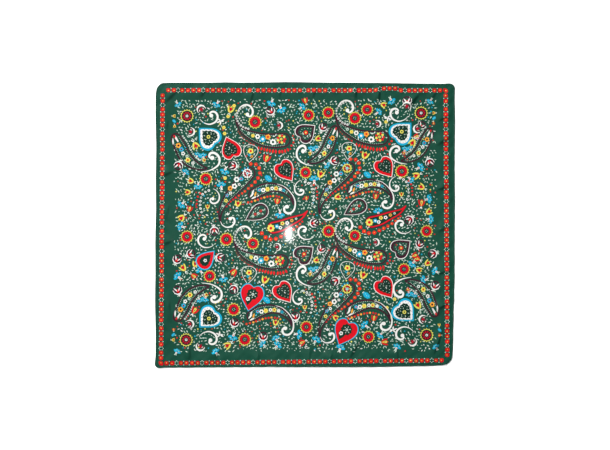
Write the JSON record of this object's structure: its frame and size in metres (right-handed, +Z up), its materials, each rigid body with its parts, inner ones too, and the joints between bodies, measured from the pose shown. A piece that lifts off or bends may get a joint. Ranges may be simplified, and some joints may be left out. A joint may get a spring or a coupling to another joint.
{
  "type": "square headscarf",
  "caption": "Square printed satin headscarf with narrow rolled and stitched hems, laid out flat.",
  "frame": {"origin": "the middle of the scarf, on the surface that it lies on", "axes": "+X to the scarf's right edge, +Y to its far edge, +Z up out of the printed face"},
  "size_m": [0.7, 0.665, 0.0012],
  "materials": {
    "printed_satin": "dark green satin with a dense multicolour print",
    "hem_satin": "dark green satin",
    "sewing_thread": "dark green polyester thread"
  },
  "bodies": {
    "root": {"satin_panel": "printed_satin", "hem_far": "hem_satin", "hem_left": "hem_satin", "hem_near": "hem_satin", "hem_right": "hem_satin", "needle_thread_far": "sewing_thread", "needle_thread_left": "sewing_thread", "needle_thread_near": "sewing_thread", "needle_thread_right": "sewing_thread", "bobbin_thread_far": "sewing_thread", "bobbin_thread_left": "sewing_thread", "bobbin_thread_near": "sewing_thread", "bobbin_thread_right": "sewing_thread"}
  },
  "joints": []
}
